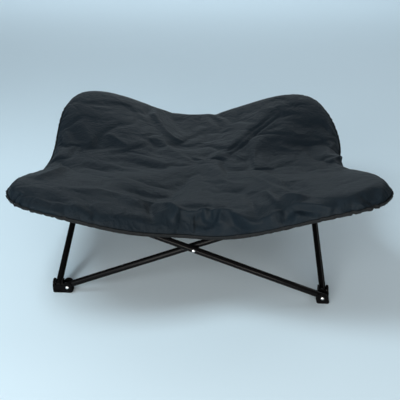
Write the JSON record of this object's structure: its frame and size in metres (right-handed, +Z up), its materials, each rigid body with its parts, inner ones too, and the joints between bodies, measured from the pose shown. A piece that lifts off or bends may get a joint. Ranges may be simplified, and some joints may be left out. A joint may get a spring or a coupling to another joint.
{
  "type": "raised dog cot",
  "caption": "Folding raised pet bed: crossed steel tubes on each side, nylon corner feet and hubs, and a padded fabric cover that dishes between raised corners.",
  "frame": {"origin": "on the floor, midway between the feet", "axes": "+Z up, +X to the right and +Y to the rear, seen from the picture's front side"},
  "size_m": [0.8701, 0.869, 0.3158],
  "materials": {
    "black_powder_coat": "gloss",
    "black_nylon": "satin",
    "plug_plastic": "satin",
    "zinc_rivet": "satin",
    "cover_fabric": "satin",
    "binding_tape": "matte",
    "pocket_fabric": "matte"
  },
  "bodies": {
    "foot_front_left": {"foot_front_left": "black_nylon", "foot_rivets_front_left": "zinc_rivet"},
    "foot_front_right": {"foot_front_right": "black_nylon", "foot_rivets_front_right": "zinc_rivet"},
    "foot_rear_right": {"foot_rear_right": "black_nylon", "foot_rivets_rear_right": "zinc_rivet"},
    "foot_rear_left": {"foot_rear_left": "black_nylon", "foot_rivets_rear_left": "zinc_rivet"},
    "tube_front_inner": {"tube_front_inner": "black_powder_coat", "tube_plugs_front_inner": "plug_plastic"},
    "tube_front_outer": {"tube_front_outer": "black_powder_coat", "tube_plugs_front_outer": "plug_plastic", "cross_rivet_front": "zinc_rivet", "cross_spacer_front": "plug_plastic"},
    "tube_right_inner": {"tube_right_inner": "black_powder_coat", "tube_plugs_right_inner": "plug_plastic"},
    "tube_right_outer": {"tube_right_outer": "black_powder_coat", "tube_plugs_right_outer": "plug_plastic", "cross_rivet_right": "zinc_rivet", "cross_spacer_right": "plug_plastic"},
    "tube_rear_inner": {"tube_rear_inner": "black_powder_coat", "tube_plugs_rear_inner": "plug_plastic"},
    "tube_rear_outer": {"tube_rear_outer": "black_powder_coat", "tube_plugs_rear_outer": "plug_plastic", "cross_rivet_rear": "zinc_rivet", "cross_spacer_rear": "plug_plastic"},
    "tube_left_inner": {"tube_left_inner": "black_powder_coat", "tube_plugs_left_inner": "plug_plastic"},
    "tube_left_outer": {"tube_left_outer": "black_powder_coat", "tube_plugs_left_outer": "plug_plastic", "cross_rivet_left": "zinc_rivet", "cross_spacer_left": "plug_plastic"},
    "hub_front_left": {"hub_front_left": "black_nylon", "hub_rivets_front_left": "zinc_rivet", "corner_pocket_front_left": "pocket_fabric"},
    "hub_front_right": {"hub_front_right": "black_nylon", "hub_rivets_front_right": "zinc_rivet", "corner_pocket_front_right": "pocket_fabric"},
    "hub_rear_right": {"hub_rear_right": "black_nylon", "hub_rivets_rear_right": "zinc_rivet", "corner_pocket_rear_right": "pocket_fabric"},
    "hub_rear_left": {"hub_rear_left": "black_nylon", "hub_rivets_rear_left": "zinc_rivet", "corner_pocket_rear_left": "pocket_fabric"},
    "cover_front_left": {"cushion_front_left": "cover_fabric", "edge_binding_front_left": "binding_tape"},
    "cover_front_right": {"cushion_front_right": "cover_fabric", "edge_binding_front_right": "binding_tape"},
    "cover_rear_right": {"cushion_rear_right": "cover_fabric", "edge_binding_rear_right": "binding_tape"},
    "cover_rear_left": {"cushion_rear_left": "cover_fabric", "edge_binding_rear_left": "binding_tape"}
  },
  "joints": [
    {"name": "fold", "type": "hinge", "parent": "foot_front_left", "child": "tube_front_inner", "pos_m": [-0.31, -0.316, 0.016], "axis": [0, -1, 0], "range_deg": [0, 56]},
    {"name": "front_crossing", "type": "hinge", "parent": "tube_front_inner", "child": "tube_front_outer", "pos_m": [0, -0.325, 0.136], "axis": [0, 1, 0], "range_deg": [0, 112]},
    {"name": "front_right_foot_pivot", "type": "hinge", "parent": "tube_front_outer", "child": "foot_front_right", "pos_m": [0.31, -0.334, 0.016], "axis": [0, -1, 0], "range_deg": [0, 56]},
    {"name": "front_left_hub_pivot", "type": "hinge", "parent": "tube_front_outer", "child": "hub_front_left", "pos_m": [-0.31, -0.334, 0.256], "axis": [0, -1, 0], "range_deg": [0, 56]},
    {"name": "front_right_hub_pivot", "type": "hinge", "parent": "tube_front_inner", "child": "hub_front_right", "pos_m": [0.31, -0.316, 0.256], "axis": [0, 1, 0], "range_deg": [0, 56]},
    {"name": "left_outer_pivot", "type": "hinge", "parent": "foot_front_left", "child": "tube_left_outer", "pos_m": [-0.334, -0.31, 0.016], "axis": [1, 0, 0], "range_deg": [0, 56]},
    {"name": "left_crossing", "type": "hinge", "parent": "tube_left_outer", "child": "tube_left_inner", "pos_m": [-0.325, 0, 0.136], "axis": [-1, 0, 0], "range_deg": [0, 112]},
    {"name": "rear_left_foot_pivot", "type": "hinge", "parent": "tube_left_inner", "child": "foot_rear_left", "pos_m": [-0.316, 0.31, 0.016], "axis": [1, 0, 0], "range_deg": [0, 56]},
    {"name": "rear_left_hub_pivot", "type": "hinge", "parent": "tube_left_outer", "child": "hub_rear_left", "pos_m": [-0.334, 0.31, 0.256], "axis": [-1, 0, 0], "range_deg": [0, 56]},
    {"name": "right_inner_pivot", "type": "hinge", "parent": "foot_front_right", "child": "tube_right_inner", "pos_m": [0.316, -0.31, 0.016], "axis": [1, 0, 0], "range_deg": [0, 56]},
    {"name": "right_crossing", "type": "hinge", "parent": "tube_right_inner", "child": "tube_right_outer", "pos_m": [0.325, 0, 0.136], "axis": [-1, 0, 0], "range_deg": [0, 112]},
    {"name": "rear_right_foot_pivot", "type": "hinge", "parent": "tube_right_outer", "child": "foot_rear_right", "pos_m": [0.334, 0.31, 0.016], "axis": [1, 0, 0], "range_deg": [0, 56]},
    {"name": "rear_right_hub_pivot", "type": "hinge", "parent": "tube_right_inner", "child": "hub_rear_right", "pos_m": [0.316, 0.31, 0.256], "axis": [-1, 0, 0], "range_deg": [0, 56]},
    {"name": "rear_outer_pivot", "type": "hinge", "parent": "foot_rear_left", "child": "tube_rear_outer", "pos_m": [-0.31, 0.334, 0.016], "axis": [0, -1, 0], "range_deg": [0, 56]},
    {"name": "rear_crossing", "type": "hinge", "parent": "tube_rear_outer", "child": "tube_rear_inner", "pos_m": [0, 0.325, 0.136], "axis": [0, 1, 0], "range_deg": [0, 112]},
    {"name": "front_left_cover_fold", "type": "hinge", "parent": "hub_front_left", "child": "cover_front_left", "pos_m": [-0.325, -0.325, 0.2738], "axis": [-0.7071, 0.7071, 0], "range_deg": [0, 65], "deforming": ["cushion_front_left", "edge_binding_front_left"]},
    {"name": "front_right_cover_fold", "type": "hinge", "parent": "hub_front_right", "child": "cover_front_right", "pos_m": [0.325, -0.325, 0.2738], "axis": [-0.7071, -0.7071, 0], "range_deg": [0, 65], "deforming": ["cushion_front_right", "edge_binding_front_right"]},
    {"name": "rear_right_cover_fold", "type": "hinge", "parent": "hub_rear_right", "child": "cover_rear_right", "pos_m": [0.325, 0.325, 0.2738], "axis": [0.7071, -0.7071, 0], "range_deg": [0, 65], "deforming": ["cushion_rear_right", "edge_binding_rear_right"]},
    {"name": "rear_left_cover_fold", "type": "hinge", "parent": "hub_rear_left", "child": "cover_rear_left", "pos_m": [-0.325, 0.325, 0.2738], "axis": [0.7071, 0.7071, 0], "range_deg": [0, 65], "deforming": ["cushion_rear_left", "edge_binding_rear_left"]}
  ],
  "couplings": [
    {"joint": "front_crossing", "follows": "fold", "ratio": 2},
    {"joint": "front_right_foot_pivot", "follows": "fold", "ratio": 1},
    {"joint": "front_left_hub_pivot", "follows": "fold", "ratio": 1},
    {"joint": "front_right_hub_pivot", "follows": "fold", "ratio": 1},
    {"joint": "left_outer_pivot", "follows": "fold", "ratio": 1},
    {"joint": "left_crossing", "follows": "fold", "ratio": 2},
    {"joint": "rear_left_foot_pivot", "follows": "fold", "ratio": 1},
    {"joint": "rear_left_hub_pivot", "follows": "fold", "ratio": 1},
    {"joint": "right_inner_pivot", "follows": "fold", "ratio": 1},
    {"joint": "right_crossing", "follows": "fold", "ratio": 2},
    {"joint": "rear_right_foot_pivot", "follows": "fold", "ratio": 1},
    {"joint": "rear_right_hub_pivot", "follows": "fold", "ratio": 1},
    {"joint": "rear_outer_pivot", "follows": "fold", "ratio": 1},
    {"joint": "rear_crossing", "follows": "fold", "ratio": 2},
    {"joint": "front_left_cover_fold", "follows": "fold", "ratio": 1.15},
    {"joint": "front_right_cover_fold", "follows": "fold", "ratio": 1.15},
    {"joint": "rear_right_cover_fold", "follows": "fold", "ratio": 1.15},
    {"joint": "rear_left_cover_fold", "follows": "fold", "ratio": 1.15}
  ]
}
